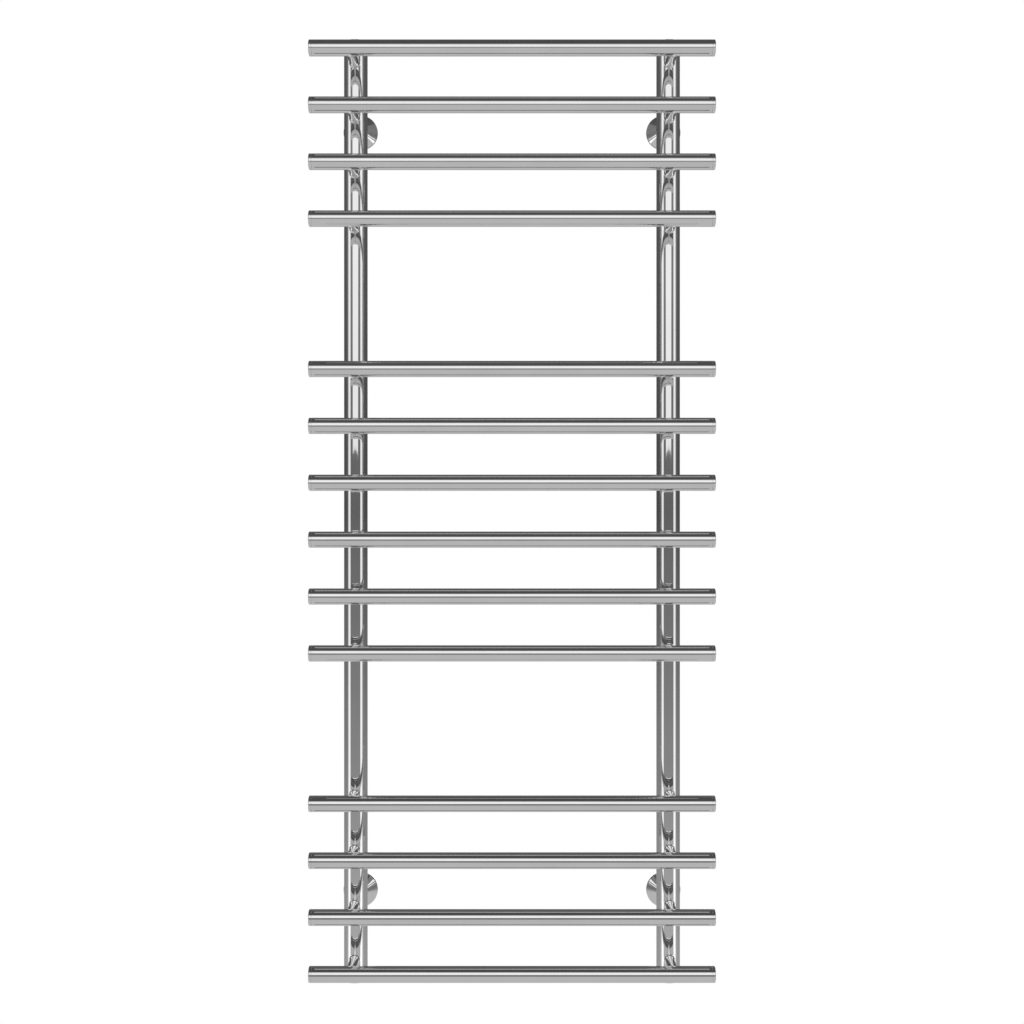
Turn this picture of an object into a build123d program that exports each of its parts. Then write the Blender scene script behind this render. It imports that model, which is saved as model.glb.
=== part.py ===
from build123d import *
import os

# A wall-hung towel warmer rack. Round rails in three banks stand in front of two upright
# collectors on short spigots, and four telescopic brackets with conical rosettes carry it.
# Hot water enters one collector, crosses through the rails and leaves by the other.
#
# Millimetres. The origin is the centre of the wall-screw pattern, in the plane of the wall.
# +Z is up, +Y runs into the wall and the rails face -Y. Left and right are as seen by a
# person facing the rack.

# ---- Rails ----
rail_diameter = 20.0
rail_wall = 1.5
rail_length = 500.0  # over the end caps
rail_pitch = 70.0  # between rails of one bank
bank_gap = 185.0  # between the facing rails of two banks
bank_sizes = {"upper": 4, "middle": 6, "lower": 4}

# ---- End caps ----
cap_thickness = 4.0
cap_edge_radius = 1.0
cap_plug_length = 5.0  # the part inside the tube
seam_chamfer = 0.3  # the fine groove between cap and tube

# ---- Collectors ----
collector_diameter = 30.0
collector_wall = 2.0
collector_length = 1200.0
collector_spacing = 400.0  # centre to centre
collector_standoff = 60.0  # from the wall to the collector's axis
rail_standoff = 72.0  # from the collector's axis to the rail's axis
end_chamfer = 0.4

# ---- Spigots ----
spigot_diameter = 12.0
waterway_diameter = 9.0  # the spigot's bore and the holes that meet it

# ---- Ports and plugs ----
port_diameter = 18.63  # the bore of a half-inch pipe thread
bushing_length = 16.0
port_chamfer = 1.2
fit_clearance = 0.05  # radial, between a round piece and the bore it sits in
plug_recess = 1.5  # from the collector's end down to the plug
plug_length = 12.0
plug_key = 12.0  # across the flats of the socket
plug_key_depth = 4.0
plug_chamfer = 0.5
seal_section = 1.7  # thickness of a plug's O-ring
seal_groove_top = 5.0  # from the plug's top to its groove
seal_groove_width = 2.1

# ---- Air vent ----
bleed_diameter = 8.0
bleed_length = 4.0  # the screw's round body, above its tip
bleed_tip_length = 2.0
bleed_tip_radius = 1.8
bleed_slot_width = 1.2
bleed_slot_depth = 1.4
bleed_clearance = 0.2  # from the screw's tip to its seat
vent_hole_radius = 1.2
vent_channel_radius = 0.8

# ---- Brackets ----
bracket_spacing = 1000.0  # between the upper and the lower pair
sleeve_diameter = 20.0
sleeve_bore = 15.0
sleeve_wall_gap = 5.0  # from the wall to the sleeve's open end
stub_length = 38.0
stub_chamfer = 0.6
flange_diameter = 38.0
flange_thickness = 3.0
flange_edge_radius = 0.8
screw_hole_diameter = 5.5
screw_head_bore = 9.0
screw_head_seat = 4.0  # metal left under the screw's head
flat_height = 5.65  # from the stub's axis to the flat under it

# ---- Grub screws ----
grub_diameter = 4.0
grub_length = 4.0
grub_gap = 0.1  # from the screw's tip to the flat
grub_standoff = 26.0  # from the wall to the screw's axis
grub_key = 2.0
grub_key_depth = 2.0
grub_tip_chamfer = 0.4

# ---- Rosettes ----
rosette_diameter = 45.0
rosette_rim = 3.5  # height of the straight rim
rosette_height = 14.0
rosette_skin = 1.2
rosette_bore_clearance = 0.3
rosette_lip = 0.5  # width of the front edge round the sleeve
rosette_edge_radius = 0.7
neck_radius = 13.0
neck_start = 8.0  # from the wall
ring_section = 1.5  # thickness of a rosette's O-ring
ring_groove_width = 1.7
ring_groove_start = 10.5  # from the wall

# ---- Worked out from the above ----
rail_radius = rail_diameter / 2
rail_bore_radius = rail_radius - rail_wall
collector_radius = collector_diameter / 2
collector_bore_radius = collector_radius - collector_wall
spigot_radius = spigot_diameter / 2
waterway_radius = waterway_diameter / 2
port_radius = port_diameter / 2
plug_radius = port_radius - fit_clearance
bleed_radius = bleed_diameter / 2
sleeve_radius = sleeve_diameter / 2
stub_radius = sleeve_bore / 2 - fit_clearance
grub_radius = grub_diameter / 2
collector_y = -collector_standoff
rail_y = collector_y - rail_standoff
sides = {"left": -1, "right": 1}
levels = {"upper": 1, "lower": -1}


def heights_by_bank():
    """The heights of the rails from the top down, grouped by bank."""
    gaps = sum(count - 1 for count in bank_sizes.values())
    z = (gaps * rail_pitch + (len(bank_sizes) - 1) * bank_gap) / 2
    heights = {}
    for bank, count in bank_sizes.items():
        heights[bank] = [z - rail_pitch * place for place in range(count)]
        z = heights[bank][-1] - bank_gap
    return heights


def save(name, piece):
    """Labels a finished piece and writes it under its own name."""
    piece.part.label = name
    export_step(piece.part, f"parts/{name}.step")


def rims(piece, radius):
    """The piece's circular edges of one radius."""
    return piece.edges().filter_by(GeomType.CIRCLE).filter_by(lambda edge: abs(edge.radius - radius) < 0.001)


def make_rail(z):
    """A tube between its end caps, with a hole in its back in front of each collector."""
    tube_length = rail_length - 2 * cap_thickness
    with BuildPart() as rail:
        with BuildSketch(Plane.YZ.offset(-tube_length / 2)):
            with Locations((rail_y, z)):
                Circle(rail_radius)
                Circle(rail_bore_radius, mode=Mode.SUBTRACT)
        extrude(amount=tube_length)
        chamfer(rims(rail, rail_radius), seam_chamfer)
        with BuildSketch(Plane.XZ.offset(-rail_y)):
            with GridLocations(collector_spacing, 0, 2, 1):
                with Locations((0, z)):
                    Circle(waterway_radius)
        extrude(amount=-rail_diameter, mode=Mode.SUBTRACT)
    return rail


def make_end_caps(side, heights):
    """A bank's caps at one end: discs with a rounded outer edge and a plug inside the tube."""
    with BuildPart() as caps:
        for z in heights:
            outer_face = Plane(origin=(side * rail_length / 2, rail_y, z), z_dir=(-side, 0, 0))
            with BuildSketch(outer_face):
                Circle(rail_radius)
            extrude(amount=cap_thickness)
            with BuildSketch(outer_face.offset(cap_thickness)):
                Circle(rail_bore_radius - fit_clearance)
            extrude(amount=cap_plug_length)
        outward = rims(caps, rail_radius).group_by(Axis.X)
        outer_rims = outward[-1] if side > 0 else outward[0]
        seam_rims = outward[0] if side > 0 else outward[-1]
        fillet(outer_rims, cap_edge_radius)
        chamfer(seam_rims, seam_chamfer)
    return caps


def make_spigots(side, heights):
    """A bank's spigots on one collector: short tubes, saddle-cut to the collector and the rails."""
    x = side * collector_spacing / 2
    with BuildPart() as spigots:
        with BuildSketch(Plane.XZ.offset(-collector_y)):
            with Locations([(x, z) for z in heights]):
                Circle(spigot_radius)
                Circle(waterway_radius, mode=Mode.SUBTRACT)
        extrude(amount=rail_standoff)
        with BuildSketch(Plane.XY.offset(-collector_length / 2)):
            with Locations((x, collector_y)):
                Circle(collector_radius)
        extrude(amount=collector_length, mode=Mode.SUBTRACT)
        with BuildSketch(Plane.YZ.offset(-rail_length / 2)):
            with Locations([(rail_y, z) for z in heights]):
                Circle(rail_radius)
        extrude(amount=rail_length, mode=Mode.SUBTRACT)
    return spigots


def make_collector(side, heights):
    """An upright tube with a hole in its front for each spigot."""
    x = side * collector_spacing / 2
    with BuildPart() as collector:
        with BuildSketch(Plane.XY.offset(-collector_length / 2)):
            with Locations((x, collector_y)):
                Circle(collector_radius)
                Circle(collector_bore_radius, mode=Mode.SUBTRACT)
        extrude(amount=collector_length)
        chamfer(rims(collector, collector_radius), end_chamfer)
        with BuildSketch(Plane.XZ.offset(-collector_y)):
            with Locations([(x, z) for z in heights]):
                Circle(waterway_radius)
        extrude(amount=collector_diameter, mode=Mode.SUBTRACT)
    return collector


def make_port_bushing(side, level):
    """A ring inside a collector's end, bored for a half-inch pipe thread, flush with the end."""
    end = (side * collector_spacing / 2, collector_y, level * collector_length / 2)
    mouth = Plane(origin=end, z_dir=(0, 0, -level))
    with BuildPart() as bushing:
        with BuildSketch(mouth):
            Circle(collector_bore_radius - fit_clearance)
            Circle(port_radius, mode=Mode.SUBTRACT)
        extrude(amount=bushing_length)
        mouth_rims = rims(bushing, port_radius).sort_by(Axis.Z)
        chamfer(mouth_rims[-1] if level > 0 else mouth_rims[0], port_chamfer)
    return bushing


def plug_top(side):
    """The plane of a plug's top face, looking down into the collector."""
    origin = (side * collector_spacing / 2, collector_y, collector_length / 2 - plug_recess)
    return Plane(origin=origin, z_dir=(0, 0, -1))


def make_plug(top, vented):
    """A headless plug with a hexagon socket and a groove for its O-ring.

    A vented one is also bored for the bleed screw, its seat and the air's way out.
    """
    with BuildPart() as plug:
        with BuildSketch(top):
            Circle(plug_radius)
        extrude(amount=plug_length)
        chamfer(rims(plug, plug_radius), plug_chamfer)
        with BuildSketch(top.offset(seal_groove_top)):
            Circle(port_radius)
            Circle(plug_radius - seal_section, mode=Mode.SUBTRACT)
        extrude(amount=seal_groove_width, mode=Mode.SUBTRACT)
        with BuildSketch(top):
            RegularPolygon(plug_key / 2, 6, major_radius=False)
        extrude(amount=plug_key_depth, mode=Mode.SUBTRACT)
        if vented:
            with BuildSketch(top.offset(plug_key_depth)):
                Circle(bleed_radius + fit_clearance)
                with Locations((bleed_radius, 0)):
                    Circle(vent_channel_radius)
            extrude(amount=bleed_length, mode=Mode.SUBTRACT)
            with BuildSketch(top.offset(plug_key_depth + bleed_length)):
                Circle(bleed_radius + fit_clearance)
            with BuildSketch(top.offset(plug_key_depth + bleed_length + bleed_tip_length + bleed_clearance)):
                Circle(bleed_tip_radius)
            loft(mode=Mode.SUBTRACT)
            with BuildSketch(top):
                Circle(vent_hole_radius)
            extrude(amount=plug_length, mode=Mode.SUBTRACT)
    return plug


def make_plug_seal(top):
    """The O-ring in a plug's groove."""
    centre = plug_radius - seal_section / 2
    middle = top.offset(seal_groove_top + seal_groove_width / 2).origin
    across = Plane(origin=middle, x_dir=(1, 0, 0), z_dir=(0, -1, 0))
    with BuildPart() as seal:
        with BuildSketch(across):
            with Locations((centre, 0)):
                Circle(seal_section / 2)
        revolve(axis=Axis(middle, (0, 0, 1)))
    return seal


def make_bleed_screw(top):
    """A slotted screw whose tapered tip closes the vent hole."""
    head = top.offset(plug_key_depth)
    with BuildPart() as screw:
        with BuildSketch(head):
            Circle(bleed_radius)
        extrude(amount=bleed_length)
        with BuildSketch(head.offset(bleed_length)):
            Circle(bleed_radius - bleed_clearance)
        with BuildSketch(head.offset(bleed_length + bleed_tip_length)):
            Circle(bleed_tip_radius - bleed_clearance)
        loft()
        with BuildSketch(head):
            Rectangle(bleed_diameter, bleed_slot_width)
        extrude(amount=bleed_slot_depth, mode=Mode.SUBTRACT)
    return screw


def make_sleeve(x, z):
    """A bracket's outer tube, saddle-cut to the collector's back, with a hole below for the grub screw."""
    with BuildPart() as sleeve:
        with BuildSketch(Plane.XZ.offset(sleeve_wall_gap)):
            with Locations((x, z)):
                Circle(sleeve_radius)
                Circle(sleeve_bore / 2, mode=Mode.SUBTRACT)
        extrude(amount=collector_standoff - sleeve_wall_gap)
        chamfer(rims(sleeve, sleeve_radius).sort_by(Axis.Y)[-1], end_chamfer)
        with BuildSketch(Plane.XY.offset(z - sleeve_diameter)):
            with Locations((x, collector_y)):
                Circle(collector_radius)
        extrude(amount=2 * sleeve_diameter, mode=Mode.SUBTRACT)
        with BuildSketch(Plane.XY.offset(z)):
            with Locations((x, -grub_standoff)):
                Circle(grub_radius + fit_clearance)
        extrude(amount=-sleeve_diameter, mode=Mode.SUBTRACT)
    return sleeve


def make_wall_base(x, z):
    """A flange on the wall and the stub that the sleeve slides on, with a flat under the stub.

    The wall screw's head sits at the bottom of the stub's bore.
    """
    wall = Plane(origin=(x, 0, z), x_dir=(1, 0, 0), z_dir=(0, -1, 0))
    with BuildPart() as base:
        with BuildSketch(wall):
            Circle(flange_diameter / 2)
        extrude(amount=flange_thickness)
        fillet(rims(base, flange_diameter / 2).sort_by(Axis.Y)[0], flange_edge_radius)
        with BuildSketch(wall):
            Circle(stub_radius)
        extrude(amount=stub_length)
        chamfer(rims(base, stub_radius).sort_by(Axis.Y)[0], stub_chamfer)
        with BuildSketch(wall.offset(flange_thickness)):
            with Locations((0, -flat_height)):
                Rectangle(sleeve_bore, sleeve_bore, align=(Align.CENTER, Align.MAX))
        extrude(amount=stub_length, mode=Mode.SUBTRACT)
        with Locations(wall.offset(stub_length)):
            CounterBoreHole(screw_hole_diameter / 2, screw_head_bore / 2, stub_length - screw_head_seat)
    return base


def make_rosette(x, z):
    """A conical shell against the wall, with a neck that holds an O-ring round the sleeve."""
    rim_radius = rosette_diameter / 2
    bore_radius = sleeve_radius + rosette_bore_clearance
    lip_radius = bore_radius + rosette_lip
    slope = (rosette_height - rosette_rim) / (rim_radius - lip_radius)
    skin_depth = rosette_skin * (1 + slope**2) ** 0.5

    def inner_depth(radius):
        """Distance of the cone's inner surface from the wall at one radius."""
        return rosette_rim + slope * (rim_radius - radius) - skin_depth

    inner_radius = rim_radius - rosette_skin
    groove_radius = bore_radius - rosette_bore_clearance + ring_section + 2 * fit_clearance
    groove_end = ring_groove_start + ring_groove_width
    outline = [
        (rim_radius, 0),
        (rim_radius, rosette_rim),
        (lip_radius, rosette_height),
        (bore_radius, rosette_height),
        (bore_radius, groove_end),
        (groove_radius, groove_end),
        (groove_radius, ring_groove_start),
        (bore_radius, ring_groove_start),
        (bore_radius, neck_start),
        (neck_radius, neck_start),
        (neck_radius, inner_depth(neck_radius)),
        (inner_radius, inner_depth(inner_radius)),
        (inner_radius, 0),
    ]
    with BuildPart() as rosette:
        with BuildSketch(Plane(origin=(x, 0, z), x_dir=(1, 0, 0), z_dir=(0, 0, -1))):
            with BuildLine():
                Polyline(outline, close=True)
            make_face()
        revolve(axis=Axis((x, 0, z), (0, 1, 0)))
        rim_edges = rims(rosette, rim_radius).sort_by(Axis.Y)
        fillet(rim_edges[0], rosette_edge_radius)
    return rosette


def make_rosette_seal(x, z):
    """The O-ring in a rosette's neck, which grips the sleeve."""
    centre_radius = sleeve_radius + fit_clearance + ring_section / 2
    centre_depth = ring_groove_start + ring_groove_width / 2
    with BuildPart() as seal:
        with BuildSketch(Plane(origin=(x, 0, z), x_dir=(1, 0, 0), z_dir=(0, 0, -1))):
            with Locations((centre_radius, centre_depth)):
                Circle(ring_section / 2)
        revolve(axis=Axis((x, 0, z), (0, 1, 0)))
    return seal


def make_grub_screw(x, z):
    """A headless screw in the sleeve's underside, driven by a hexagon socket, facing the flat."""
    outer_z = z - flat_height - grub_gap - grub_length
    outer_end = Plane(origin=(x, -grub_standoff, outer_z), z_dir=(0, 0, 1))
    with BuildPart() as grub:
        with BuildSketch(outer_end):
            Circle(grub_radius)
        extrude(amount=grub_length)
        chamfer(rims(grub, grub_radius).sort_by(Axis.Z)[-1], grub_tip_chamfer)
        with BuildSketch(outer_end):
            RegularPolygon(grub_key / 2, 6, major_radius=False)
        extrude(amount=grub_key_depth, mode=Mode.SUBTRACT)
    return grub


os.makedirs("parts", exist_ok=True)

banks = heights_by_bank()
all_heights = [z for heights in banks.values() for z in heights]

for number, z in enumerate(all_heights, start=1):
    save(f"rail_{number:02d}", make_rail(z))

for side_name, side in sides.items():
    save(f"{side_name}_collector", make_collector(side, all_heights))
    for bank, heights in banks.items():
        save(f"{bank}_{side_name}_end_caps", make_end_caps(side, heights))
        save(f"{bank}_{side_name}_spigots", make_spigots(side, heights))
    for level_name, level in levels.items():
        bracket = f"{level_name}_{side_name}"
        x = side * collector_spacing / 2
        z = level * bracket_spacing / 2
        save(f"{bracket}_port_bushing", make_port_bushing(side, level))
        save(f"{bracket}_sleeve", make_sleeve(x, z))
        save(f"{bracket}_wall_base", make_wall_base(x, z))
        save(f"{bracket}_rosette", make_rosette(x, z))
        save(f"{bracket}_rosette_seal", make_rosette_seal(x, z))
        save(f"{bracket}_grub_screw", make_grub_screw(x, z))

blank_top = plug_top(sides["left"])
vent_top = plug_top(sides["right"])
save("blank_plug", make_plug(blank_top, vented=False))
save("blank_plug_seal", make_plug_seal(blank_top))
save("vent_plug", make_plug(vent_top, vented=True))
save("vent_plug_seal", make_plug_seal(vent_top))
save("bleed_screw", make_bleed_screw(vent_top))
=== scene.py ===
import math

import bpy
import numpy as np
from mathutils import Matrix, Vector


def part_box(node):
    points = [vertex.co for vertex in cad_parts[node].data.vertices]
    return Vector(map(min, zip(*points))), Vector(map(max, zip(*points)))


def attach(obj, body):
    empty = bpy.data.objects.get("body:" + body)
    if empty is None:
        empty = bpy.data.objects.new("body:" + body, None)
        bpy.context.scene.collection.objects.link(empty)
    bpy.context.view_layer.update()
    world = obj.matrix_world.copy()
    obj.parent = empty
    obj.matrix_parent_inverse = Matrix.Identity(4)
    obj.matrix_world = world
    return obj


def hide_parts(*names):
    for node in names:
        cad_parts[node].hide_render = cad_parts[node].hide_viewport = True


# The polished towel warmer rack around its CAD frame: finely turned rails, end caps, collectors
# and spigots with their weld fillets, procedural metals, a plain studio and the camera.
# Metres. +Z is up, +Y runs into the wall and the rails face -Y.

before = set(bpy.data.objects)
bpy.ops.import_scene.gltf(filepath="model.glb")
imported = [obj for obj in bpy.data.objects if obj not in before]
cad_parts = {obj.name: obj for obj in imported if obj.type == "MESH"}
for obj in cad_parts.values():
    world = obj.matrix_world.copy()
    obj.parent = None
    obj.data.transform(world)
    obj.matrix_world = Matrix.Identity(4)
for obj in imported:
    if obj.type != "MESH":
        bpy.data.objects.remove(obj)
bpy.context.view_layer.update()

MM = 0.001
TUBE_SIDES = 128
SPIGOT_SIDES = 72
BANKS = {"upper": 4, "middle": 6, "lower": 4}  # rails in each
SIDES = {"left": -1, "right": 1}
LEVELS = ("upper", "lower")

# Sizes that a bounding box doesn't give
RAIL_WALL = 1.5 * MM
COLLECTOR_WALL = 2.0 * MM
CAP_THICKNESS = 4.0 * MM
CAP_EDGE = 1.0 * MM
CAP_CROWN = 0.25 * MM  # how far a cap's face is domed
CAP_DOME_STEPS = 10
CAP_EDGE_STEPS = 8
SEAM = 0.3 * MM  # bevel on each side of the groove between cap and tube
CRISP_EDGE = 0.08 * MM  # the smallest rounding that a polisher leaves
COLLECTOR_END_BEVEL = 0.4 * MM
SPIGOT_RADIUS = 6.0 * MM
SPIGOT_BORE = 4.5 * MM
SPIGOT_FILLET = 1.4 * MM
SLEEVE_FILLET = 1.8 * MM
WELD_SINK = 0.2 * MM  # how far a weld's foot reaches under the tube's surface


# ---------------------------------------------------------------- mesh building


class Shape:
    """Closed surfaces gathered into one mesh, each vertex with its exact normal."""

    def __init__(self):
        self.points = []
        self.normals = []
        self.faces = []

    def add_grid(self, points, normals, closed_rows=True):
        """A grid of rows by columns. Columns close on themselves, and so do rows if asked."""
        rows, columns = points.shape[:2]
        first = len(self.points)
        self.points += list(points.reshape(-1, 3))
        self.normals += list(normals.reshape(-1, 3))
        quads = []
        for row in range(rows if closed_rows else rows - 1):
            after = (row + 1) % rows
            for column in range(columns):
                beside = (column + 1) % columns
                here_row, after_row = row * columns, after * columns
                quad = (here_row + column, here_row + beside, after_row + beside, after_row + column)
                quads.append(quad)
        self.faces += _facing_out(quads, points.reshape(-1, 3), normals.reshape(-1, 3), first)
        return first

    def close_end(self, first, columns, centre, normal):
        """A fan from one ring to its centre."""
        hub = len(self.points)
        self.points.append(np.array(centre, float))
        self.normals.append(np.array(normal, float))
        fan = [(first + column, first + (column + 1) % columns, hub) for column in range(columns)]
        self.faces += _facing_out(fan, np.array(self.points), np.array(self.normals), 0)

    def build(self, name, material, body, slot, *nodes):
        """The finished object: it rides on a body and stands for CAD nodes."""
        mesh = bpy.data.meshes.new(name)
        mesh.from_pydata([tuple(p) for p in self.points], [], self.faces)
        mesh.validate()
        mesh.shade_smooth()
        normals = np.array(self.normals)
        normals /= np.linalg.norm(normals, axis=1, keepdims=True)
        mesh.normals_split_custom_set_from_vertices([tuple(n) for n in normals])
        mesh.materials.append(material)
        piece = bpy.data.objects.new(name, mesh)
        bpy.context.scene.collection.objects.link(piece)
        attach(piece, body)
        if nodes:
            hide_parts(*nodes)
        return piece


def _facing_out(faces, points, normals, first):
    """The faces with their numbers raised by first, turned over if they face inwards."""
    corners = points[np.array([face[:3] for face in faces])]
    facing = np.cross(corners[:, 1] - corners[:, 0], corners[:, 2] - corners[:, 0])
    wanted = normals[np.array([face[0] for face in faces])] + normals[np.array([face[2] for face in faces])]
    turned = (facing * wanted).sum() < 0
    order = (lambda face: tuple(reversed(face))) if turned else tuple
    return [order([number + first for number in face]) for face in faces]


def rounded(corners, turn_per_step=math.radians(12)):
    """Rounds a closed outline's corners.

    A corner is (radius, along, rounding). Gives rows of radius, along and the outward normal's
    two parts; the outline runs so that its outside is on the left of its direction.
    """
    rows = []
    count = len(corners)
    for i, (radius, along, rounding) in enumerate(corners):
        here = np.array((radius, along))
        before = np.array(corners[i - 1][:2]) - here
        after = np.array(corners[(i + 1) % count][:2]) - here
        into = -before / np.linalg.norm(before)
        out = after / np.linalg.norm(after)
        turn = math.atan2(into[0] * out[1] - into[1] * out[0], into @ out)
        reach = rounding * math.tan(abs(turn) / 2)
        start = here - into * reach
        steps = max(2, math.ceil(abs(turn) / turn_per_step))
        side = math.copysign(1, turn)
        centre = start + side * rounding * np.array((-into[1], into[0]))
        for step in range(steps + 1):
            angle = turn * step / steps
            cos, sin = math.cos(angle), math.sin(angle)
            heading = np.array((into[0] * cos - into[1] * sin, into[0] * sin + into[1] * cos))
            left = np.array((-heading[1], heading[0]))
            point = centre - side * rounding * left
            rows.append((point[0], point[1], left[0], left[1]))
    return rows


def revolved(rows, origin, axis, sides):
    """The points and normals of rows of radius, along and normal, swept about an axis."""
    across = np.array((0.0, 0.0, 1.0)) if abs(axis[2]) < 0.5 else np.array((1.0, 0.0, 0.0))
    other = np.cross(axis, across)
    angles = np.arange(sides) * 2 * math.pi / sides
    spokes = np.cos(angles)[:, None] * across + np.sin(angles)[:, None] * other
    points = []
    normals = []
    for radius, along, out, onward in rows:
        points.append(np.array(origin) + radius * spokes + along * axis)
        normals.append(out * spokes + onward * axis)
    return np.array(points), np.array(normals)


def turned(shape, corners, origin, axis):
    """Adds a turned solid: the rounded outline swept once about an axis through origin."""
    shape.add_grid(*revolved(rounded(corners), origin, np.array(axis, float), TUBE_SIDES))


def swept(point_at, ring_count, sides):
    """The points of a closed surface, from point_at(ring, angles), and the normals of its slopes."""
    angles = np.arange(sides) * 2 * math.pi / sides
    points = np.array([point_at(ring, angles) for ring in range(ring_count)])
    along = np.roll(points, -1, axis=0) - np.roll(points, 1, axis=0)
    around = np.roll(points, -1, axis=1) - np.roll(points, 1, axis=1)
    normals = np.cross(around, along)
    normals /= np.linalg.norm(normals, axis=2, keepdims=True) + 1e-12
    return points, normals


# ---------------------------------------------------------------- materials

STEEL_TONE = 0.86
POLISHED_ROUGHNESS = (0.018, 0.05)
MIDDLE_ROUGHNESS = 0.03


def material(name, color, metallic, roughness):
    """A new node material and its Principled shader, with what is even set on the shader."""
    made = bpy.data.materials.new(name)
    made.use_nodes = True
    shader = made.node_tree.nodes["Principled BSDF"]
    shader.inputs["Base Color"].default_value = (*color, 1)
    shader.inputs["Metallic"].default_value = metallic
    shader.inputs["Roughness"].default_value = roughness
    return made, shader


def node(tree, kind, **settings):
    """A new node with its properties set."""
    made = tree.nodes.new(kind)
    for key, value in settings.items():
        setattr(made, key, value)
    return made


def math_node(tree, operation, *values):
    """A Math node fed by links and numbers."""
    made = node(tree, "ShaderNodeMath", operation=operation)
    for socket, value in zip(made.inputs, values):
        if isinstance(value, (int, float)):
            socket.default_value = value
        else:
            tree.links.new(value, socket)
    return made.outputs["Value"]


def noise_over(tree, stretch, scale, detail=4.0):
    """Noise in object space, stretched by a factor for each axis."""
    where = node(tree, "ShaderNodeTexCoord")
    mapping = node(tree, "ShaderNodeMapping")
    mapping.inputs["Scale"].default_value = stretch
    noise = node(tree, "ShaderNodeTexNoise")
    noise.inputs["Scale"].default_value = scale
    noise.inputs["Detail"].default_value = detail
    tree.links.new(where.outputs["Object"], mapping.inputs["Vector"])
    tree.links.new(mapping.outputs["Vector"], noise.inputs["Vector"])
    return noise.outputs["Fac"]


def spread(tree, value, low, high, from_low=0.3, from_high=0.7):
    """A value mapped to the range low to high."""
    ranged = node(tree, "ShaderNodeMapRange")
    ranged.inputs["From Min"].default_value = from_low
    ranged.inputs["From Max"].default_value = from_high
    ranged.inputs["To Min"].default_value = low
    ranged.inputs["To Max"].default_value = high
    tree.links.new(value, ranged.inputs["Value"])
    return ranged.outputs["Result"]


def tinted(tree, value, dark, light):
    """A colour between two greys, by a value."""
    mix = node(tree, "ShaderNodeMix", data_type="RGBA")
    mix.inputs["A"].default_value = (*dark, 1)
    mix.inputs["B"].default_value = (*light, 1)
    tree.links.new(value, mix.inputs["Factor"])
    return mix.outputs["Result"]


def bumped(tree, shader, height, strength, distance):
    """Gives the shader a bump from a height."""
    bump = node(tree, "ShaderNodeBump")
    bump.inputs["Strength"].default_value = strength
    bump.inputs["Distance"].default_value = distance
    tree.links.new(height, bump.inputs["Height"])
    tree.links.new(bump.outputs["Normal"], shader.inputs["Normal"])


def brushed(stretch, scale=900.0):
    """Marks that run along a tube."""
    return lambda tree: noise_over(tree, stretch, scale)


def turned_marks(node_name, axis, lines_per_metre=2500.0):
    """Fine rings round the axis of a CAD node and its mirrored twins, on end faces and sides."""
    centre, _ = middle(node_name)
    across = [0.0 if name == axis else 1.0 for name in "XYZ"]

    def marks(tree):
        where = node(tree, "ShaderNodeTexCoord")
        folded = node(tree, "ShaderNodeVectorMath", operation="ABSOLUTE")
        tree.links.new(where.outputs["Object"], folded.inputs[0])
        from_axis = node(tree, "ShaderNodeVectorMath", operation="SUBTRACT")
        tree.links.new(folded.outputs["Vector"], from_axis.inputs[0])
        from_axis.inputs[1].default_value = [abs(value) for value in centre]
        flat = node(tree, "ShaderNodeVectorMath", operation="MULTIPLY")
        tree.links.new(from_axis.outputs["Vector"], flat.inputs[0])
        flat.inputs[1].default_value = across
        radius = node(tree, "ShaderNodeVectorMath", operation="LENGTH")
        tree.links.new(flat.outputs["Vector"], radius.inputs[0])
        along = node(tree, "ShaderNodeSeparateXYZ")
        tree.links.new(where.outputs["Object"], along.inputs["Vector"])
        rings = node(tree, "ShaderNodeTexNoise", noise_dimensions="1D")
        rings.inputs["Scale"].default_value = lines_per_metre
        rings.inputs["Detail"].default_value = 3.0
        place = math_node(tree, "ADD", radius.outputs["Value"], along.outputs[axis])
        tree.links.new(place, rings.inputs["W"])
        return rings.outputs["Fac"]

    return marks


def polished_steel(name, marks, tone=STEEL_TONE):
    """Mirror-polished steel: faint polishing lines, and slight cloudiness."""
    made, shader = material(name, (tone, tone, tone), 1.0, MIDDLE_ROUGHNESS)
    tree = made.node_tree
    lines = marks(tree)
    clouds = noise_over(tree, (1, 1, 1), 18.0, detail=2.0)
    tree.links.new(spread(tree, lines, *POLISHED_ROUGHNESS), shader.inputs["Roughness"])
    dark = (tone - 0.02, tone - 0.02, tone - 0.018)
    light = (tone + 0.015, tone + 0.015, tone + 0.013)
    tree.links.new(tinted(tree, spread(tree, clouds, 0, 1), dark, light), shader.inputs["Base Color"])
    bumped(tree, shader, lines, strength=0.04, distance=0.01 * MM)
    return made


def machined_steel(name, tone, roughness, marks):
    """Satin steel with the marks of the tool."""
    made, shader = material(name, (tone, tone, tone), 1.0, roughness)
    tree = made.node_tree
    lines = marks(tree)
    tree.links.new(spread(tree, lines, roughness - 0.08, roughness + 0.1), shader.inputs["Roughness"])
    dark = (tone - 0.08, tone - 0.08, tone - 0.075)
    light = (tone + 0.06, tone + 0.06, tone + 0.055)
    tree.links.new(tinted(tree, spread(tree, lines, 0, 1), dark, light), shader.inputs["Base Color"])
    bumped(tree, shader, lines, strength=0.3, distance=0.03 * MM)
    return made


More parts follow.
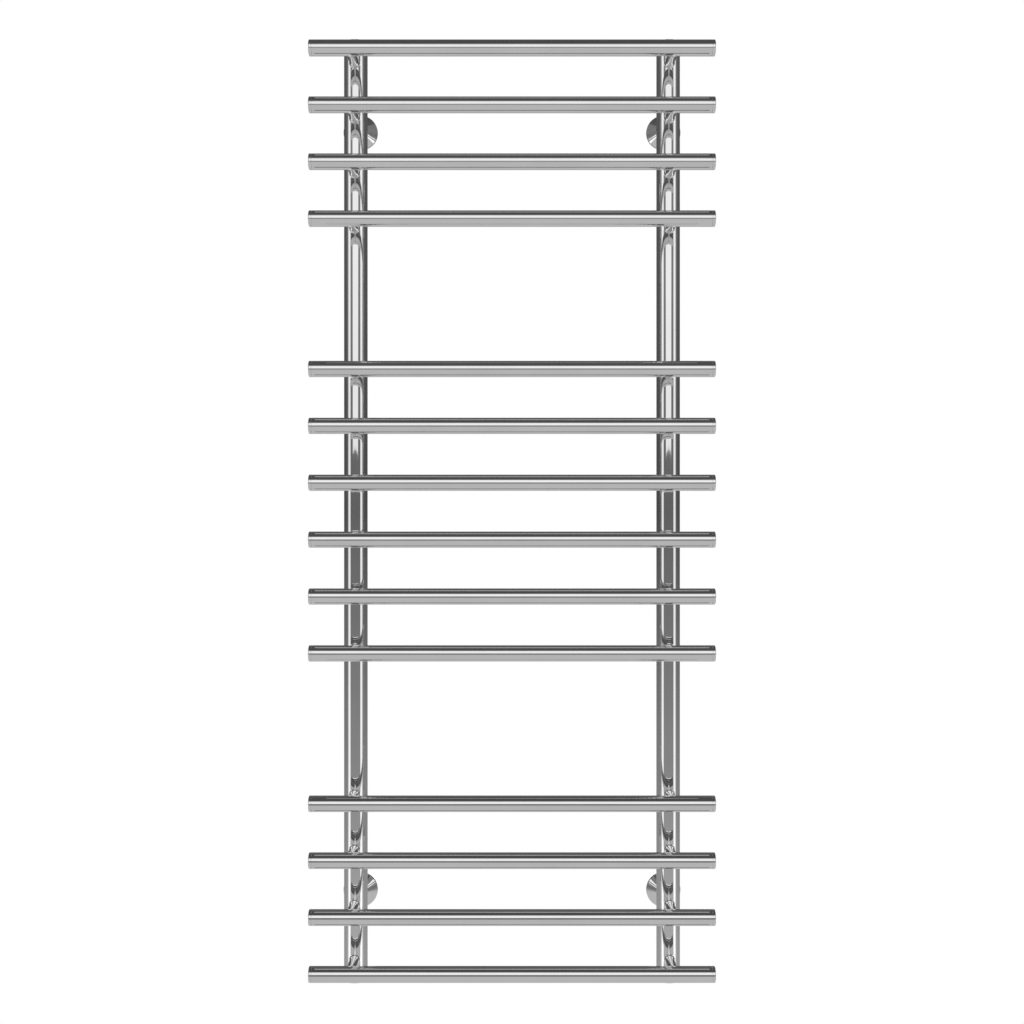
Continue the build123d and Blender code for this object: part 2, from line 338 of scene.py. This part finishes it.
def rubber(name):
    """Black moulded rubber with a fine bloom."""
    made, shader = material(name, (0.03, 0.03, 0.03), 0.0, 0.6)
    tree = made.node_tree
    bloom = noise_over(tree, (1, 1, 1), 2500.0)
    shade = tinted(tree, spread(tree, bloom, 0, 1), (0.018, 0.018, 0.019), (0.05, 0.05, 0.05))
    tree.links.new(shade, shader.inputs["Base Color"])
    tree.links.new(spread(tree, bloom, 0.5, 0.75), shader.inputs["Roughness"])
    bumped(tree, shader, bloom, strength=0.3, distance=0.03 * MM)
    return made


def middle(node_name):
    """The centre of a CAD node's box, and half its size."""
    low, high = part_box(node_name)
    return (low + high) / 2, (high - low) / 2


ALONG_X = (0.02, 1, 1)
ALONG_Y = (1, 0.05, 1)
ALONG_Z = (1, 1, 0.02)

rail_steel = polished_steel("rail_steel", brushed(ALONG_X))
cap_steel = polished_steel("cap_steel", brushed((1, 1, 1)))
collector_steel = polished_steel("collector_steel", brushed(ALONG_Z))
spigot_steel = polished_steel("spigot_steel", brushed(ALONG_Y))
sleeve_steel = polished_steel("sleeve_steel", brushed(ALONG_Y))
rosette_steel = polished_steel("rosette_steel", turned_marks("upper_right_rosette", "Y"))
port_steel = machined_steel("port_steel", 0.62, 0.3, turned_marks("upper_right_port_bushing", "Z"))
base_steel = machined_steel("base_steel", 0.6, 0.34, turned_marks("upper_right_wall_base", "Y"))
screw_steel = machined_steel("screw_steel", 0.4, 0.32, turned_marks("upper_right_grub_screw", "Z"))
plated_brass = machined_steel("plated_brass", 0.72, 0.18, turned_marks("vent_plug", "Z"))
seal_rubber = rubber("seal_rubber")


# ---------------------------------------------------------------- pieces


def make_rail(node_name):
    """One rail's tube: a fine bevel at each end makes the groove beside its cap."""
    centre, half = middle(node_name)
    outer = half.z
    inner = outer - RAIL_WALL
    tube = Shape()
    outline = [
        (inner, half.x, CRISP_EDGE),
        (inner, -half.x, CRISP_EDGE),
        (outer - SEAM, -half.x, CRISP_EDGE),
        (outer, -half.x + SEAM, CRISP_EDGE),
        (outer, half.x - SEAM, CRISP_EDGE),
        (outer - SEAM, half.x, CRISP_EDGE),
    ]
    turned(tube, outline, centre, (1, 0, 0))
    tube.build(f"{node_name}_tube", rail_steel, "rack", "rail_steel", node_name)
    return centre, outer


def make_caps(bank, side, rails):
    """A bank's end caps on one side."""
    node_name = f"{bank}_{side}_end_caps"
    low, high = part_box(node_name)
    sign = SIDES[side]
    end = high.x if sign > 0 else low.x
    caps = Shape()
    for centre, outer in rails:
        add_cap(caps, outer, high.x - low.x, (end, centre.y, centre.z), sign)
    caps.build(f"{node_name}_turned", cap_steel, "rack", "cap_steel", node_name)


def cap_outline(outer, depth):
    """Rows from the middle of a cap's domed face, over its edge and seam, to its plug's end."""
    plug = outer - RAIL_WALL
    rows = []
    for step in range(CAP_DOME_STEPS + 1):
        radius = (outer - CAP_EDGE) * step / CAP_DOME_STEPS
        height = CAP_CROWN * (1 - (radius / outer) ** 2)
        rows.append((radius, height - CAP_CROWN, 2 * CAP_CROWN * radius / outer**2, 1))
    _, face, *edge_normal = rows[-1]
    lean = math.atan2(*edge_normal)
    for step in range(1, CAP_EDGE_STEPS + 1):
        angle = lean + (math.pi / 2 - lean) * step / CAP_EDGE_STEPS
        radius = outer - CAP_EDGE + CAP_EDGE * math.sin(angle)
        along = face - CAP_EDGE + CAP_EDGE * math.cos(angle)
        rows.append((radius, along, math.sin(angle), math.cos(angle)))
    chain = [
        (outer, rows[-1][1]),
        (outer, -CAP_THICKNESS + SEAM),
        (outer - SEAM, -CAP_THICKNESS),
        (plug, -CAP_THICKNESS),
        (plug, -depth),
        (0.0, -depth),
    ]
    for before, here, after in zip(chain, chain[1:], chain[2:]):
        into = np.array(here) - np.array(before)
        out = np.array(after) - np.array(here)
        into /= np.linalg.norm(into)
        out /= np.linalg.norm(out)
        rows.append((here[0] - into[0] * CRISP_EDGE, here[1] - into[1] * CRISP_EDGE, -into[1], into[0]))
        rows.append((here[0] + out[0] * CRISP_EDGE, here[1] + out[1] * CRISP_EDGE, -out[1], out[0]))
    return rows


def add_cap(caps, outer, depth, origin, sign):
    """Adds one cap, closed in the middle of its face and of its plug's end."""
    axis = np.array((float(sign), 0.0, 0.0))
    rings = cap_outline(outer, depth)[1:]
    first = caps.add_grid(*revolved(rings, origin, axis, TUBE_SIDES), closed_rows=False)
    last_ring = first + (len(rings) - 1) * TUBE_SIDES
    caps.close_end(first, TUBE_SIDES, np.array(origin), axis)
    caps.close_end(last_ring, TUBE_SIDES, np.array(origin) - depth * axis, -axis)


def make_collector(side):
    """One upright tube, open at both ends for its port bushings."""
    node_name = f"{side}_collector"
    centre, half = middle(node_name)
    outer = half.x
    inner = outer - COLLECTOR_WALL
    tube = Shape()
    outline = [
        (inner, half.z, CRISP_EDGE),
        (inner, -half.z, CRISP_EDGE),
        (outer - COLLECTOR_END_BEVEL, -half.z, CRISP_EDGE),
        (outer, -half.z + COLLECTOR_END_BEVEL, CRISP_EDGE),
        (outer, half.z - COLLECTOR_END_BEVEL, CRISP_EDGE),
        (outer - COLLECTOR_END_BEVEL, half.z, CRISP_EDGE),
    ]
    turned(tube, outline, centre, (0, 0, 1))
    tube.build(f"{node_name}_tube", collector_steel, "rack", "collector_steel", node_name)
    return centre, outer


def fillet_point(foot, corner, top, share):
    """A point of the concave curve from a weld's foot over its corner to its top."""
    return (1 - share) ** 2 * foot + 2 * share * (1 - share) * corner + share**2 * top


def make_spigots(bank, side, rails, collector):
    """A bank's spigots on one collector, each flowing into both tubes by a polished weld."""
    node_name = f"{bank}_{side}_spigots"
    upright, upright_radius = collector
    fillet_steps = 7
    shares = [step / fillet_steps for step in range(fillet_steps + 1)]
    spigots = Shape()
    for rail, rail_radius in rails:
        x, z = upright.x, rail.z

        def front_of_collector(reach, angles):
            """The collector's surface at a distance from the spigot's axis."""
            y = upright.y - np.sqrt(upright_radius**2 - (reach * np.cos(angles)) ** 2)
            return np.stack([x + reach * np.cos(angles), y, z + reach * np.sin(angles)], 1)

        def back_of_rail(reach, angles):
            """The rail's surface at a distance from the spigot's axis."""
            y = rail.y + np.sqrt(rail_radius**2 - (reach * np.sin(angles)) ** 2)
            return np.stack([x + reach * np.cos(angles), y, z + reach * np.sin(angles)], 1)

        def ring(number, angles):
            """One ring of the closed surface, from the collector's foot round to the bore."""
            sink = np.array((0, WELD_SINK, 0))
            foot = SPIGOT_RADIUS + SPIGOT_FILLET
            raised = np.array((0, SPIGOT_FILLET, 0))
            if number < len(shares):
                corner = front_of_collector(SPIGOT_RADIUS, angles)
                low = front_of_collector(foot, angles)
                return fillet_point(low, corner, corner - raised, shares[number])
            number -= len(shares)
            if number < len(shares):
                corner = back_of_rail(SPIGOT_RADIUS, angles)
                low = back_of_rail(foot, angles)
                return fillet_point(low, corner, corner + raised, shares[-1 - number])
            number -= len(shares)
            ends = (
                back_of_rail(foot, angles) - sink,
                back_of_rail(SPIGOT_BORE, angles) - sink,
                front_of_collector(SPIGOT_BORE, angles) + sink,
                front_of_collector(foot, angles) + sink,
            )
            return ends[number]

        points, normals = swept(ring, 2 * len(shares) + 4, SPIGOT_SIDES)
        exact_spigot_normals(points, normals, len(shares), x, z, upright, rail)
        spigots.add_grid(points, normals)
    spigots.build(f"{node_name}_welded", spigot_steel, "rack", "spigot_steel", node_name)


def exact_spigot_normals(points, normals, steps, x, z, upright, rail):
    """Sets the normals where a spigot is round and where its welds run out into the tubes."""
    radial = points[steps - 1] - np.array((x, 0, z))
    radial[:, 1] = 0
    radial /= np.linalg.norm(radial, axis=1, keepdims=True)
    normals[steps - 1] = radial
    normals[steps] = radial
    on_collector = points[0] - np.array(upright)
    on_collector[:, 2] = 0
    normals[0] = on_collector / np.linalg.norm(on_collector, axis=1, keepdims=True)
    on_rail = points[2 * steps - 1] - np.array(rail)
    on_rail[:, 0] = 0
    normals[2 * steps - 1] = on_rail / np.linalg.norm(on_rail, axis=1, keepdims=True)


rail_number = 0
collectors = {side: make_collector(side) for side in SIDES}
for bank, count in BANKS.items():
    rails = []
    for _ in range(count):
        rail_number += 1
        rails.append(make_rail(f"rail_{rail_number:02d}"))
    for side in SIDES:
        make_caps(bank, side, rails)
        make_spigots(bank, side, rails, collectors[side])


def make_sleeve_weld(level, side, collector):
    """The polished weld between a bracket's sleeve and the back of its collector."""
    node_name = f"{level}_{side}_sleeve"
    centre, half = middle(node_name)
    upright, upright_radius = collector
    sleeve_radius = half.z
    fillet_steps = 8
    weld = Shape()

    def back_of_collector(reach, angles):
        """The collector's surface at a distance from the sleeve's axis."""
        y = upright.y + np.sqrt(upright_radius**2 - (reach * np.cos(angles)) ** 2)
        return np.stack([centre.x + reach * np.cos(angles), y, centre.z + reach * np.sin(angles)], 1)

    def ring(number, angles):
        """One ring of the weld, with its foot sunk into the tube's wall."""
        corner = back_of_collector(sleeve_radius, angles)
        foot = back_of_collector(sleeve_radius + SLEEVE_FILLET, angles)
        top = corner + np.array((0, SLEEVE_FILLET, 0))
        if number <= fillet_steps:
            return fillet_point(foot, corner, top, number / fillet_steps)
        inward = back_of_collector(sleeve_radius - WELD_SINK, angles)
        if number == fillet_steps + 1:
            return inward + np.array((0, SLEEVE_FILLET, 0))
        sunk = inward if number == fillet_steps + 2 else foot
        return sunk - np.array((0, WELD_SINK, 0))

    points, normals = swept(ring, fillet_steps + 4, TUBE_SIDES)
    weld.add_grid(points, normals)
    weld.build(f"{level}_{side}_sleeve_weld", sleeve_steel, "rack", "sleeve_steel")


for level in LEVELS:
    for side in SIDES:
        make_sleeve_weld(level, side, collectors[side])

KEPT_NODES = {
    "_sleeve": sleeve_steel,
    "_rosette": rosette_steel,
    "_rosette_seal": seal_rubber,
    "_wall_base": base_steel,
    "_port_bushing": port_steel,
    "_grub_screw": screw_steel,
    "_plug": plated_brass,
    "_plug_seal": seal_rubber,
    "bleed_screw": plated_brass,
}
for ending, finish in KEPT_NODES.items():
    for name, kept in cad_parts.items():
        if name.endswith(ending):
            for slot in kept.material_slots:
                slot.material = finish


# ---------------------------------------------------------------- floor, light and camera


def make_floor():
    """A round pale floor below the rack, out of the camera's view, that fades out at its rim."""
    floor_drop = 1.5
    floor_radius = 2.2
    fade_start = 1.2
    bpy.ops.mesh.primitive_circle_add(vertices=128, radius=floor_radius, fill_type="NGON")
    floor = bpy.context.object
    floor.name = "floor"
    floor.location.z = -floor_drop
    made, shader = material("floor_plaster", (0.8, 0.8, 0.8), 0.0, 0.7)
    tree = made.node_tree
    mottle = noise_over(tree, (1, 1, 1), 3.0)
    shade = tinted(tree, spread(tree, mottle, 0, 1), (0.84, 0.84, 0.84), (0.88, 0.88, 0.88))
    tree.links.new(shade, shader.inputs["Base Color"])
    where = node(tree, "ShaderNodeTexCoord")
    distance = node(tree, "ShaderNodeVectorMath", operation="LENGTH")
    tree.links.new(where.outputs["Object"], distance.inputs[0])
    fade = spread(tree, distance.outputs["Value"], 1, 0, fade_start, floor_radius)
    tree.links.new(fade, shader.inputs["Alpha"])
    floor.data.materials.append(made)
    floor.visible_glossy = False


# The studio. Three large soft boxes stand far enough off to look alike from every rail: one in
# front, above the camera, and one on each side. The steel also mirrors the room, which has a pale
# floor and a dark ceiling and is darker behind the rack, and everything else sees plain white.
LIGHT_DISTANCE = 5.0
SOFT_BOX_BRIGHTNESS = 0.75  # of the box's own surface, where 1 shows as white
SOFT_BOXES = {  # azimuth and elevation in degrees, width and height in metres
    "front_soft_box": (0, 20, 5.0, 3.0),
    "left_soft_box": (-60, 0, 2.0, 5.0),
    "right_soft_box": (60, 0, 2.0, 5.0),
}
ROOM_IN_FRONT = [(-90, 0.75), (-20, 0.75), (-10, 0.55), (0, 0.4), (10, 0.5), (45, 0.5), (50, 0.3), (90, 0.3)]
ROOM_BEHIND = [(-90, 0.75), (-30, 0.75), (0, 0.3), (45, 0.4), (90, 0.3)]
WHITE = (1, 1, 1, 1)


def display_to_light(level):
    """The light that the standard view shows as this grey level."""
    return level / 12.92 if level <= 0.04045 else ((level + 0.055) / 1.055) ** 2.4


def make_soft_box(name, azimuth, elevation, width, height):
    """A soft box that faces the rack and shows only in what it lights and in the steel."""
    light = bpy.data.lights.new(name, "AREA")
    light.shape = "RECTANGLE"
    light.size = width
    light.size_y = height
    light.energy = SOFT_BOX_BRIGHTNESS * math.pi * width * height  # watts for that brightness
    box = bpy.data.objects.new(name, light)
    bpy.context.scene.collection.objects.link(box)
    across, up = math.radians(azimuth), math.radians(elevation)
    place = Vector((math.sin(across) * math.cos(up), -math.cos(across) * math.cos(up), math.sin(up)))
    box.location = place * LIGHT_DISTANCE
    box.rotation_euler = place.to_track_quat("Z", "Y").to_euler()
    box.visible_camera = False


def room_shade(tree, height, stops):
    """The room's grey by the height of a direction. A stop is (elevation in degrees, grey)."""
    ramp = node(tree, "ShaderNodeValToRGB")
    tree.links.new(spread(tree, height, 0, 1, -1, 1), ramp.inputs["Fac"])
    marks = ramp.color_ramp.elements
    places = [(math.sin(math.radians(elevation)) + 1) / 2 for elevation, _ in stops]
    for place in places[1:-1]:
        marks.new(place)
    for mark, (_, grey) in zip(marks, stops):
        level = display_to_light(grey)
        mark.color = (level, level, level, 1)
    return ramp.outputs["Color"]


def make_room():
    """The world: mirrored in the steel it is the room, and everywhere else plain white."""
    world = bpy.data.worlds.new("studio")
    bpy.context.scene.world = world
    world.use_nodes = True
    tree = world.node_tree
    tree.nodes.clear()
    where = node(tree, "ShaderNodeTexCoord")
    parts = node(tree, "ShaderNodeSeparateXYZ")
    tree.links.new(where.outputs["Generated"], parts.inputs["Vector"])
    walls = node(tree, "ShaderNodeMix", data_type="RGBA")
    tree.links.new(room_shade(tree, parts.outputs["Z"], ROOM_IN_FRONT), walls.inputs["A"])
    tree.links.new(room_shade(tree, parts.outputs["Z"], ROOM_BEHIND), walls.inputs["B"])
    tree.links.new(spread(tree, parts.outputs["Y"], 0, 1, -0.2, 0.2), walls.inputs["Factor"])
    mirrored = node(tree, "ShaderNodeBackground")
    tree.links.new(walls.outputs["Result"], mirrored.inputs["Color"])
    backdrop = node(tree, "ShaderNodeBackground")
    backdrop.inputs["Color"].default_value = WHITE
    seen = node(tree, "ShaderNodeLightPath")
    choose = node(tree, "ShaderNodeMixShader")
    out = node(tree, "ShaderNodeOutputWorld")
    tree.links.new(seen.outputs["Is Glossy Ray"], choose.inputs["Fac"])
    tree.links.new(backdrop.outputs["Background"], choose.inputs[1])
    tree.links.new(mirrored.outputs["Background"], choose.inputs[2])
    tree.links.new(choose.outputs["Shader"], out.inputs["Surface"])


def make_camera():
    """A camera straight in front, at mid-height."""
    wall_to_camera = 1.882
    eye_height = -0.001
    camera_data = bpy.data.cameras.new("camera")
    camera_data.lens = 50
    camera_data.sensor_width = 36
    camera = bpy.data.objects.new("camera", camera_data)
    bpy.context.scene.collection.objects.link(camera)
    camera.location = (0, -wall_to_camera, eye_height)
    camera.rotation_euler = (math.pi / 2, 0, 0)
    bpy.context.scene.camera = camera


make_floor()
for name, setting in SOFT_BOXES.items():
    make_soft_box(name, *setting)
make_room()
make_camera()
bpy.context.scene.view_settings.view_transform = "Standard"
